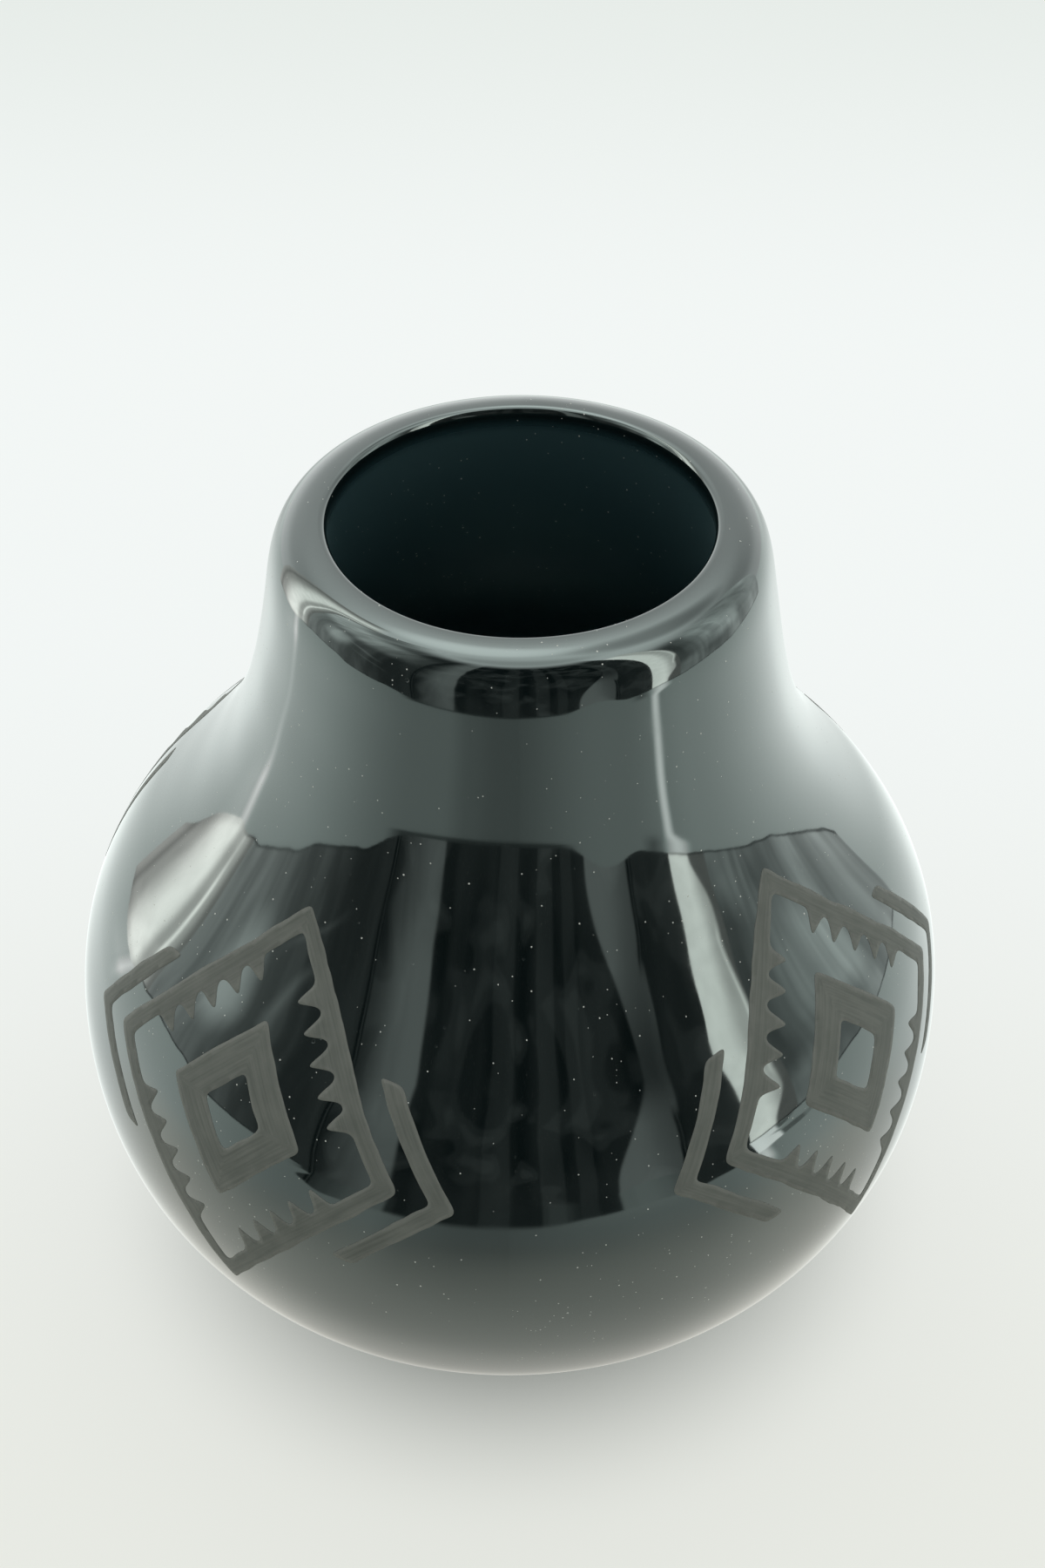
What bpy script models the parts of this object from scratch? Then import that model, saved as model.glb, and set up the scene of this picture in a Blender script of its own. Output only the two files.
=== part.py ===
"""A burnished blackware jar: round belly, short neck, thick rolled lip, and matt slip
figures painted round the shoulder.

Metres, +Z up. The origin is the centre of the flat base, and the front faces -Y.
"""
import math

import bmesh
import bpy
from mathutils import Matrix, Vector

# Clay body: each rise is the height from one station of the wall to the next
BASE_RADIUS = 0.0270
BELLY_RADIUS = 0.0700
BELLY_RISE = 0.0510
SHOULDER_INSET = 0.0122
SHOULDER_RISE = 0.0331
NECK_RADIUS = 0.0372
NECK_RISE = 0.0467
LIP_ROLL = 0.0082
LIP_RISE = 0.0115
LIP_EDGE = 0.0011
LIP_DROP = 0.0045

# Inward lean of the wall from upright at three stations, in degrees
FOOT_LEAN = -71.0
SHOULDER_LEAN = 42.6
NECK_LEAN = 9.0

# Clay thickness, and how far the hand-built neck stands off the belly's axis
WALL = 0.0060
FLOOR = 0.0075
NECK_SHIFT = 0.0019

# Painted slip: a thin matt coat, held off the clay by the clearance that keeps solids apart
SLIP_GAP = 0.0003
SLIP_COAT = 0.00025

# The figures in turn, spaced evenly from the first one's angle, which is counted from the front
FIGURE_PLACES = ("front_left", "front_right", "back_right", "back_left")
FIRST_FIGURE_ANGLE = -38.0
FIGURE_RISE = 0.0220

# One figure, measured on the plane that touches the wall at its centre
LOZENGE_HALF_WIDTH = 0.0275
LOZENGE_HALF_HEIGHT = 0.0330
LOZENGE_STROKE = 0.0028
TOOTH_DEPTH = 0.0038
TOOTH_GAP = 0.0011
TOOTHLESS_END = 0.0072
TEETH_PER_SIDE = 5
CORE_HALF_WIDTH = 0.0125
CORE_HALF_HEIGHT = 0.0150
CORE_STROKE = 0.0054
CHEVRON_GAP = 0.0034
CHEVRON_STROKE = 0.0026
CHEVRON_HALF_HEIGHT = 0.0150

# Stretches of the wall's section: first station, last station, facets, and how strongly the
# curve holds each station's direction
OUTER_STRETCHES = (
    ("foot", "belly", 9, 0.40, 0.42),
    ("belly", "shoulder", 7, 0.32, 0.42),
    ("shoulder", "neck", 7, 0.42, 0.40),
    ("neck", "lip", 7, 0.46, 0.48),
)
INNER_STRETCHES = (
    ("lip", "throat", 4, 0.45, 0.40),
    ("throat", "inner_shoulder", 6, 0.35, 0.50),
    ("inner_shoulder", "inner_belly", 4, 0.42, 0.32),
    ("inner_belly", "inner_floor", 5, 0.42, 0.45),
)
TURN_STEPS = 96
MERGE_DISTANCE = 0.00001

COLLECTION_NAME = "blackware_jar"
BURNISHED_COLOUR = (0.010, 0.014, 0.015)
BURNISHED_ROUGHNESS = 0.08
SLIP_COLOUR = (0.105, 0.108, 0.098)
SLIP_ROUGHNESS = 0.75


def clear_scene():
    for old in list(bpy.data.objects):
        bpy.data.objects.remove(old, do_unlink=True)


def make_collection(name):
    collection = bpy.data.collections.new(name)
    bpy.context.scene.collection.children.link(collection)
    return collection


def make_material(name, colour, roughness):
    material = bpy.data.materials.new(name)
    material.use_nodes = True
    shader = material.node_tree.nodes["Principled BSDF"]
    shader.inputs["Base Color"].default_value = (*colour, 1.0)
    shader.inputs["Roughness"].default_value = roughness
    return material


class Station:
    """A point of the wall's section, and the direction of travel up the outer wall there."""

    def __init__(self, point, heading):
        self.point = Vector(point)
        self.heading = Vector(heading)

    def inset(self, thickness):
        """The matching station on the inside of a wall of this thickness."""
        inward = Vector((-self.heading.y, self.heading.x))
        return Station(self.point + inward * thickness, self.heading)

    def turned_back(self):
        return Station(self.point, -self.heading)


def leaning_station(radius, height, lean):
    """A station whose wall leans inwards from upright by this many degrees."""
    angle = math.radians(90.0 + lean)
    return Station((radius, height), (math.cos(angle), math.sin(angle)))


def wall_stations():
    """Every station by name; those of the inner wall face down it."""
    shoulder_height = BELLY_RISE + SHOULDER_RISE
    neck_height = shoulder_height + NECK_RISE
    lip_height = neck_height + LIP_RISE
    lip_radius = NECK_RADIUS - LIP_ROLL
    belly = leaning_station(BELLY_RADIUS, BELLY_RISE, 0.0)
    shoulder = leaning_station(BELLY_RADIUS - SHOULDER_INSET, shoulder_height, SHOULDER_LEAN)
    return {
        "foot": leaning_station(BASE_RADIUS, 0.0, FOOT_LEAN),
        "belly": belly,
        "shoulder": shoulder,
        "neck": leaning_station(NECK_RADIUS, neck_height, NECK_LEAN),
        "lip": Station((lip_radius, lip_height), (-1.0, 0.0)),
        "throat": Station((lip_radius - LIP_EDGE, lip_height - LIP_DROP), (0.0, -1.0)),
        "inner_shoulder": shoulder.inset(WALL).turned_back(),
        "inner_belly": belly.inset(WALL).turned_back(),
        "inner_floor": Station((BASE_RADIUS, FLOOR), (-1.0, 0.0)),
    }


def swept_points(start, end, facets, start_pull, end_pull):
    """Points of a cubic curve from one station to the next, without its first one."""
    reach = (end.point - start.point).length
    first = start.point + start.heading * reach * start_pull
    second = end.point - end.heading * reach * end_pull
    points = []
    for index in range(1, facets + 1):
        t = index / facets
        s = 1.0 - t
        points.append(
            start.point * s ** 3
            + first * 3.0 * s * s * t
            + second * 3.0 * s * t * t
            + end.point * t ** 3
        )
    return points


def section_through(stations, stretches):
    """The stretches joined end to end, without the very first point."""
    points = []
    for first, last, facets, start_pull, end_pull in stretches:
        points += swept_points(stations[first], stations[last], facets, start_pull, end_pull)
    return points


def outer_section(stations):
    """The outer wall from the foot up to the crest of the lip."""
    return [stations["foot"].point] + section_through(stations, OUTER_STRETCHES)


def neck_share(height, stations):
    """How much of the neck's shift a height takes: none up to the belly, all from the neck."""
    low = stations["belly"].point.y
    high = stations["neck"].point.y
    share = min(max((height - low) / (high - low), 0.0), 1.0)
    return share * share * (3.0 - 2.0 * share)


def turned_object(name, section, stations, collection, material):
    """A section at +X, turned about Z by a Screw, then shifted sideways towards the neck."""
    mesh = bpy.data.meshes.new(name)
    vertices = [(point.x, 0.0, point.y) for point in section]
    edges = [(index, index + 1) for index in range(len(section) - 1)]
    mesh.from_pydata(vertices, edges, [])
    mesh.materials.append(material)
    turned = bpy.data.objects.new(name, mesh)
    collection.objects.link(turned)

    shifted = turned.vertex_groups.new(name="neck_shift")
    for index, point in enumerate(section):
        shifted.add([index], neck_share(point.y, stations), "REPLACE")

    screw = turned.modifiers.new("Turn", "SCREW")
    screw.axis = "Z"
    screw.angle = math.tau
    screw.steps = TURN_STEPS
    screw.render_steps = TURN_STEPS
    screw.use_merge_vertices = True
    screw.merge_threshold = MERGE_DISTANCE
    screw.use_smooth_shade = True

    shift = turned.modifiers.new("Neck shift", "DISPLACE")
    shift.direction = "X"
    shift.mid_level = 0.0
    shift.strength = NECK_SHIFT
    shift.vertex_group = shifted.name
    return turned


def make_clay_body(stations, collection, material):
    """The fired clay: floor, inner wall, lip, outer wall and flat base in one section."""
    inside = list(reversed(section_through(stations, INNER_STRETCHES)))
    outside = list(reversed(outer_section(stations)))
    section = [Vector((0.0, FLOOR))] + inside + outside + [Vector((0.0, 0.0))]
    return turned_object("jar_body", section, stations, collection, material)


def wall_at(height, section):
    """The outer wall's point and outward normal at a height."""
    for low, high in zip(section, section[1:]):
        if low.y <= height <= high.y:
            share = (height - low.y) / (high.y - low.y)
            along = (high - low).normalized()
            return low.lerp(high, share), Vector((along.y, -along.x))
    raise ValueError("the wall doesn't reach this height")


def held_off(section, distance):
    """The section moved outwards along its own normals."""
    moved = []
    last = len(section) - 1
    for index, point in enumerate(section):
        along = section[min(index + 1, last)] - section[max(index - 1, 0)]
        along.normalize()
        moved.append(point + Vector((along.y, -along.x)) * distance)
    return moved


def slip_section(section):
    """The stretch of outer wall under the figures, held off the clay, from top to bottom."""
    centre = BELLY_RISE + FIGURE_RISE
    low = centre - LOZENGE_HALF_HEIGHT
    high = centre + LOZENGE_HALF_HEIGHT
    under = [index for index, point in enumerate(section) if low < point.y < high]
    stretch = held_off(section, SLIP_GAP)[max(under[0] - 1, 0):under[-1] + 2]
    return list(reversed(stretch))


def lozenge(half_width, half_height):
    return [(half_width, 0.0), (0.0, half_height), (-half_width, 0.0), (0.0, -half_height)]


def inner_lozenge(half_width, half_height, stroke):
    """The lozenge whose sides lie one stroke inside those of the given one."""
    height_of_triangle = half_width * half_height / math.hypot(half_width, half_height)
    share = 1.0 - stroke / height_of_triangle
    return lozenge(half_width * share, half_height * share)


def saw_toothed(corners):
    """A closed outline whose sides carry teeth that point inwards, with bare ends."""
    outline = []
    for start, end in zip(corners, corners[1:] + corners[:1]):
        corner = Vector(start)
        side = Vector(end) - corner
        along = side.normalized()
        inward = Vector((-along.y, along.x))
        pitch = (side.length - 2.0 * TOOTHLESS_END) / TEETH_PER_SIDE
        outline.append(tuple(corner))
        for tooth in range(TEETH_PER_SIDE):
            middle = corner + along * (TOOTHLESS_END + pitch * (tooth + 0.5))
            half_base = along * (pitch - TOOTH_GAP) / 2.0
            outline.append(tuple(middle - half_base))
            outline.append(tuple(middle + inward * TOOTH_DEPTH))
            outline.append(tuple(middle + half_base))
    return outline


def chevron(side):
    """An open angle beside the lozenge, its arms parallel to the lozenge's sides."""
    widen = math.hypot(LOZENGE_HALF_WIDTH, LOZENGE_HALF_HEIGHT) / LOZENGE_HALF_HEIGHT
    near = LOZENGE_HALF_WIDTH + CHEVRON_GAP * widen
    far = near + CHEVRON_STROKE * widen
    top = CHEVRON_HALF_HEIGHT
    back = top * LOZENGE_HALF_WIDTH / LOZENGE_HALF_HEIGHT
    outline = [
        (near, 0.0), (near - back, -top), (far - back, -top),
        (far, 0.0), (far - back, top), (near - back, top),
    ]
    return [(side * x, y) for x, y in outline]


def figure_strokes():
    """The strokes of one figure by name, each as its edge and, where it has one, its hole."""
    frame_hole = inner_lozenge(LOZENGE_HALF_WIDTH, LOZENGE_HALF_HEIGHT, LOZENGE_STROKE)
    core_hole = inner_lozenge(CORE_HALF_WIDTH, CORE_HALF_HEIGHT, CORE_STROKE)
    return {
        "slip_frame": [lozenge(LOZENGE_HALF_WIDTH, LOZENGE_HALF_HEIGHT), saw_toothed(frame_hole)],
        "slip_core": [lozenge(CORE_HALF_WIDTH, CORE_HALF_HEIGHT), core_hole],
        "slip_left_chevron": [chevron(-1)],
        "slip_right_chevron": [chevron(1)],
    }


def make_cutter(name, outlines, placement, collection):
    """A closed prism of the outlines that runs through the wall on one side of the jar."""
    curve = bpy.data.curves.new(name, "CURVE")
    curve.dimensions = "2D"
    curve.fill_mode = "BOTH"
    curve.extrude = BELLY_RADIUS / 2.0
    for outline in outlines:
        spline = curve.splines.new("POLY")
        spline.points.add(len(outline) - 1)
        for point, (x, y) in zip(spline.points, outline):
            point.co = (x, y, 0.0, 1.0)
        spline.use_cyclic_u = True
    drawn = bpy.data.objects.new(name, curve)
    collection.objects.link(drawn)
    drawn.matrix_world = placement
    bpy.context.view_layer.update()

    depsgraph = bpy.context.evaluated_depsgraph_get()
    mesh = bpy.data.meshes.new_from_object(drawn.evaluated_get(depsgraph))
    bpy.data.objects.remove(drawn, do_unlink=True)
    prism = bmesh.new()
    prism.from_mesh(mesh)
    bmesh.ops.remove_doubles(prism, verts=prism.verts, dist=MERGE_DISTANCE)
    bmesh.ops.recalc_face_normals(prism, faces=prism.faces)
    prism.to_mesh(mesh)
    prism.free()

    cutter = bpy.data.objects.new(name, mesh)
    collection.objects.link(cutter)
    cutter.matrix_world = placement
    cutter.hide_render = True
    cutter.display_type = "WIRE"
    return cutter


def figure_placement(angle, section):
    """The plane that touches the wall at a figure's centre: X sideways, Y up the wall, Z out."""
    point, normal = wall_at(BELLY_RISE + FIGURE_RISE, section)
    turn = Matrix.Rotation(math.radians(angle), 3, "Z")
    outward = turn @ Vector((0.0, -normal.x, normal.y))
    sideways = turn @ Vector((1.0, 0.0, 0.0))
    upward = outward.cross(sideways)
    placement = Matrix((sideways, upward, outward)).transposed().to_4x4()
    placement.translation = turn @ Vector((0.0, -point.x, point.y))
    return placement


def make_figure(place, angle, stations, parts, cutters, material):
    """One painted figure: each stroke is a thin coat, cut to its outline from a turned skin."""
    section = outer_section(stations)
    placement = figure_placement(angle, section)
    for stroke_name, outlines in figure_strokes().items():
        name = f"{stroke_name}_{place}"
        stroke = turned_object(name, slip_section(section), stations, parts, material)

        coat = stroke.modifiers.new("Coat", "SOLIDIFY")
        coat.thickness = SLIP_COAT
        coat.offset = 1.0
        coat.use_even_offset = True

        cut = stroke.modifiers.new("Outline", "BOOLEAN")
        cut.operation = "INTERSECT"
        cut.solver = "EXACT"
        cut.object = make_cutter(f"{name}_outline", outlines, placement, cutters)


def main():
    clear_scene()
    parts = make_collection(COLLECTION_NAME)
    cutters = make_collection("cutters")
    burnished = make_material("burnished_clay", BURNISHED_COLOUR, BURNISHED_ROUGHNESS)
    slip = make_material("matt_slip", SLIP_COLOUR, SLIP_ROUGHNESS)

    stations = wall_stations()
    make_clay_body(stations, parts, burnished)
    for index, place in enumerate(FIGURE_PLACES):
        angle = FIRST_FIGURE_ANGLE + index * 360.0 / len(FIGURE_PLACES)
        make_figure(place, angle, stations, parts, cutters, slip)


main()
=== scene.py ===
"""A burnished blackware jar with matt painted slip, on a pale floor in a light tent.

Metres, +Z up. The origin is the centre of the flat base, and the front faces -Y.
"""
import math

import bmesh
import bpy
import numpy as np
from mathutils import Matrix, Vector
from mathutils.bvhtree import BVHTree
from mathutils.geometry import delaunay_2d_cdt


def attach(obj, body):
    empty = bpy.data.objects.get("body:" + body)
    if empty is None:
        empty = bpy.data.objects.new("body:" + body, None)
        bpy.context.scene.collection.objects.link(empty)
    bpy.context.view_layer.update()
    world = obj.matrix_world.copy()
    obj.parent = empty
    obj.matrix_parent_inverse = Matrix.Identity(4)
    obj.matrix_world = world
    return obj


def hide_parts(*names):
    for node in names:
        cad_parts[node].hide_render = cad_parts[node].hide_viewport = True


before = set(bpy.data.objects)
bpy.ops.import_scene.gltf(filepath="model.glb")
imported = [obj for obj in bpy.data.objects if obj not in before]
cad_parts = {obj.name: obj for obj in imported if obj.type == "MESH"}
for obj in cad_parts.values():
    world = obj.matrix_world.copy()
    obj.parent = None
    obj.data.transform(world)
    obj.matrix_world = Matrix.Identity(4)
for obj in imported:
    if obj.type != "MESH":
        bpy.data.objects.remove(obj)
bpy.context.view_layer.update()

# Wall of the jar, as the CAD source has it
BASE_RADIUS = 0.0270
BELLY_RADIUS = 0.0700
BELLY_RISE = 0.0510
SHOULDER_INSET = 0.0122
SHOULDER_RISE = 0.0331
NECK_RADIUS = 0.0372
NECK_RISE = 0.0467
LIP_ROLL = 0.0082
LIP_RISE = 0.0115
LIP_EDGE = 0.0011
LIP_DROP = 0.0045
FOOT_LEAN = -71.0
SHOULDER_LEAN = 42.6
NECK_LEAN = 9.0
WALL = 0.0060
FLOOR = 0.0075
NECK_SHIFT = 0.0019

# Places and outlines of the painted figures, as the CAD source has them
FIGURE_PLACES = ("front_left", "front_right", "back_right", "back_left")
FIRST_FIGURE_ANGLE = -38.0
FIGURE_RISE = 0.0220
LOZENGE_HALF_WIDTH = 0.0275
LOZENGE_HALF_HEIGHT = 0.0330
LOZENGE_STROKE = 0.0028
TOOTH_DEPTH = 0.0038
TOOTH_GAP = 0.0011
TOOTHLESS_END = 0.0072
TEETH_PER_SIDE = 5
CORE_HALF_WIDTH = 0.0125
CORE_HALF_HEIGHT = 0.0150
CORE_STROKE = 0.0054
CHEVRON_GAP = 0.0034
CHEVRON_STROKE = 0.0026
CHEVRON_HALF_HEIGHT = 0.0150

# Fineness of the visible clay: facets of each stretch of the section, and steps round it
OUTER_STRETCHES = (
    ("foot", "belly", 44, 0.40, 0.42),
    ("belly", "shoulder", 28, 0.32, 0.42),
    ("shoulder", "neck", 34, 0.42, 0.40),
    ("neck", "lip", 26, 0.46, 0.48),
)
INNER_STRETCHES = (
    ("lip", "throat", 12, 0.45, 0.40),
    ("throat", "inner_shoulder", 24, 0.35, 0.50),
    ("inner_shoulder", "inner_belly", 16, 0.42, 0.32),
    ("inner_belly", "inner_floor", 22, 0.42, 0.45),
)
DISC_RINGS = 5
TURN_STEPS = 256

# Hand-made unevenness of the clay: swells of several lengths, all cut inwards
SWELL_COUNT = 16
SWELL_DEPTH = 0.000008
SWELL_LEVEL = 0.00005
OUTER_SWELL_START = 0.004
INNER_SWELL_START = 0.002
INNER_SWELL_TURN = 0.7

# Painted slip
SLIP_SINK = 0.00003
SLIP_EDGE_COAT = 0.00002
SLIP_FULL_COAT = 0.00007
SLIP_EDGE_WIDTH = 0.0005
OUTLINE_STEP = 0.00050
GRID_STEP = 0.00085
GRID_ROW_SHARE = 0.866
GRID_EDGE_SHARE = 0.55
CORNER_SMOOTHING = 4
BRUSH_SHAKE = 0.00007
BRUSH_SHAKE_LENGTH = 0.0115
BRUSH_SHAKE_WAVES = 5

# Finishes
CLAY_DARK = (0.0019, 0.0038, 0.0040, 1.0)
CLAY_PALE = (0.0035, 0.0064, 0.0066, 1.0)
CLAY_IOR = 1.8
CLAY_GLOSS_TINT = (0.845, 1.0, 0.955, 1.0)
DUST_COLOUR = (0.40, 0.40, 0.37, 1.0)
DUST_ROUGHNESS = 0.8
# The inside's colours are painted light: far paler than the clay, and palest at the floor, deep in the
# jar's shade
INSIDE_NECK_PAINTED_LIGHT = (0.015, 0.038, 0.043, 1.0)
INSIDE_BELLY_PAINTED_LIGHT = (0.050, 0.100, 0.108, 1.0)
INSIDE_FLOOR_PAINTED_LIGHT = (0.11, 0.21, 0.225, 1.0)
INSIDE_ROUGHNESS = 0.38
SLIP_DARK = (0.066, 0.074, 0.064, 1.0)
SLIP_PALE = (0.120, 0.127, 0.112, 1.0)
SLIP_GLOSS = 0.30
SLIP_ROUGHNESS = (0.62, 0.80)
SLIP_PALE_EDGE = 0.0007

# Heights between which the inside begins, and between which its painted light turns from one colour to
# the next
INSIDE_TOP = (0.1412, 0.1380)
PAINTED_LIGHT_BELLY_REACH = (0.105, 0.025)
PAINTED_LIGHT_FLOOR_REACH = (0.078, 0.048)

# Heights of the fine relief
BAND_RELIEF = 0.0000035
LINE_RELIEF = 0.0000005
WAVE_RELIEF = 0.000007
PIT_DEPTH = 0.000010
DRAG_RELIEF = 0.000014
GRAIN_RELIEF = 0.000004

# Camera, from the photograph's perspective
LENS = 55.58
SENSOR = 36.0
CAMERA_PLACE = (0.0021, -0.2839, 0.3409)
CAMERA_DOWN = 41.33

# Overhead lamp
LAMP_PLACE = (0.03, 0.25, 1.10)
LAMP_AIM = (0.0, 0.0, 0.05)
LAMP_SIZE = 0.9
LAMP_POWER = 2.6


class Station:
    """A point of the wall's section, and the direction of travel up the outer wall there."""

    def __init__(self, point, heading):
        self.point = np.array(point)
        self.heading = np.array(heading)

    def inset(self, thickness):
        inward = np.array((-self.heading[1], self.heading[0]))
        return Station(self.point + inward * thickness, self.heading)

    def turned_back(self):
        return Station(self.point, -self.heading)


def leaning_station(radius, height, lean):
    angle = math.radians(90.0 + lean)
    return Station((radius, height), (math.cos(angle), math.sin(angle)))


def wall_stations():
    shoulder_height = BELLY_RISE + SHOULDER_RISE
    neck_height = shoulder_height + NECK_RISE
    lip_height = neck_height + LIP_RISE
    lip_radius = NECK_RADIUS - LIP_ROLL
    belly = leaning_station(BELLY_RADIUS, BELLY_RISE, 0.0)
    shoulder = leaning_station(BELLY_RADIUS - SHOULDER_INSET, shoulder_height, SHOULDER_LEAN)
    return {
        "foot": leaning_station(BASE_RADIUS, 0.0, FOOT_LEAN),
        "belly": belly,
        "shoulder": shoulder,
        "neck": leaning_station(NECK_RADIUS, neck_height, NECK_LEAN),
        "lip": Station((lip_radius, lip_height), (-1.0, 0.0)),
        "throat": Station((lip_radius - LIP_EDGE, lip_height - LIP_DROP), (0.0, -1.0)),
        "inner_shoulder": shoulder.inset(WALL).turned_back(),
        "inner_belly": belly.inset(WALL).turned_back(),
        "inner_floor": Station((BASE_RADIUS, FLOOR), (-1.0, 0.0)),
    }


STATIONS = wall_stations()
BELLY_HEIGHT = STATIONS["belly"].point[1]
NECK_HEIGHT = STATIONS["neck"].point[1]


def stretch_points(stretches):
    """Section points along the stretches, without the first one."""
    rows = []
    for first, last, facets, start_pull, end_pull in stretches:
        start, end = STATIONS[first], STATIONS[last]
        reach = np.linalg.norm(end.point - start.point)
        t = (np.arange(1, facets + 1) / facets)[:, None]
        s = 1.0 - t
        rows.append(
            start.point * s ** 3
            + (start.point + start.heading * reach * start_pull) * 3.0 * s * s * t
            + (end.point - end.heading * reach * end_pull) * 3.0 * s * t * t
            + end.point * t ** 3
        )
    return np.vstack(rows)


def outer_section():
    return np.vstack([STATIONS["foot"].point[None, :], stretch_points(OUTER_STRETCHES)])


def neck_share(height):
    share = np.clip((height - BELLY_HEIGHT) / (NECK_HEIGHT - BELLY_HEIGHT), 0.0, 1.0)
    return share * share * (3.0 - 2.0 * share)


def swells(angle, along):
    """Slow hand-made unevenness at an angle round the jar and a distance along the wall."""
    swell = np.zeros(np.broadcast(angle, along).shape)

    # Each swell goes a whole number of times round the jar, so that it meets itself
    golden_angle = math.pi * (3.0 - math.sqrt(5.0))
    for index in range(SWELL_COUNT):
        turns = 2 + (index * 7) % 11
        rows_per_metre = 9.0 + 7.0 * ((index * 5) % 11)
        phase = golden_angle * index * index
        wave = np.sin(turns * angle + along * rows_per_metre * math.tau + phase)
        swell += wave * SWELL_DEPTH * 6.0 / (3.0 + turns + 0.06 * rows_per_metre)
    return swell


def ring_sweep(section, outside):
    """Points of a section turned about Z, with the neck's shift and the clay's unevenness."""
    sign = 1.0 if outside else -1.0
    swell_start = OUTER_SWELL_START if outside else INNER_SWELL_START
    swell_turn = 0.0 if outside else INNER_SWELL_TURN
    radius, height = section[:, 0], section[:, 1]
    step = np.gradient(section, axis=0)
    length = np.maximum(np.linalg.norm(step, axis=1), 1e-12)
    normal = np.stack([step[:, 1], -step[:, 0]], axis=1) / length[:, None]
    along = np.concatenate([[0.0], np.cumsum(np.linalg.norm(np.diff(section, axis=0), axis=1))])
    angle = np.arange(TURN_STEPS) * math.tau / TURN_STEPS
    fade = np.clip(along / swell_start, 0.0, 1.0)
    inward = swells(angle[None, :] + swell_turn, along[:, None]) - SWELL_LEVEL
    inward = np.minimum(inward, 0.0) * fade[:, None] * sign
    spread = radius[:, None] + normal[:, :1] * inward * sign
    lifted = height[:, None] + normal[:, 1:] * inward * sign
    x = spread * np.sin(angle) + NECK_SHIFT * neck_share(height)[:, None]
    y = -spread * np.cos(angle)
    return np.stack([x, y, lifted], axis=2)


def clay_mesh():
    """The whole fired wall as one closed skin, from the inner floor's centre to the base's."""
    outer = outer_section()
    inner = stretch_points(INNER_STRETCHES)
    outside = ring_sweep(outer, True)
    inside = ring_sweep(np.vstack([outer[-1:], inner]), False)[1:]
    discs = np.arange(1, DISC_RINGS) / DISC_RINGS
    rings = []
    for share in discs:
        rings.append(inside[-1] * [share, share, 1.0])
    rings += list(inside[::-1])
    rings += list(outside[::-1])
    for share in discs[::-1]:
        rings.append(outside[0] * [share, share, 1.0])
    points = np.concatenate(rings)
    floor_centre = len(points)
    base_centre = floor_centre + 1
    points = np.vstack([points, [0.0, 0.0, FLOOR], [0.0, 0.0, 0.0]])

    faces = []
    around = np.arange(TURN_STEPS)
    following = (around + 1) % TURN_STEPS
    for ring in range(len(rings) - 1):
        low, high = ring * TURN_STEPS, (ring + 1) * TURN_STEPS
        quads = np.stack([low + around, low + following, high + following, high + around], 1)
        faces += quads.tolist()
    last = (len(rings) - 1) * TURN_STEPS
    faces += [(floor_centre, b, a) for a, b in zip(around.tolist(), following.tolist())]
    faces += [(base_centre, last + a, last + b) for a, b in zip(around.tolist(), following.tolist())]
    return points, faces


def new_mesh(name, points, faces, material):
    mesh = bpy.data.meshes.new(name)
    mesh.from_pydata([tuple(point) for point in points], [], faces)
    mesh.materials.append(material)
    return mesh


def new_object(name, data):
    thing = bpy.data.objects.new(name, data)
    bpy.context.scene.collection.objects.link(thing)
    return thing


def mesh_piece(name, points, faces, material):
    """A smooth-shaded closed mesh object whose faces look outwards."""
    mesh = new_mesh(name, points, faces, material)
    build = bmesh.new()
    build.from_mesh(mesh)
    bmesh.ops.recalc_face_normals(build, faces=build.faces)
    for face in build.faces:
        face.smooth = True
    build.to_mesh(mesh)
    build.free()
    return new_object(name, mesh)


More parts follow.
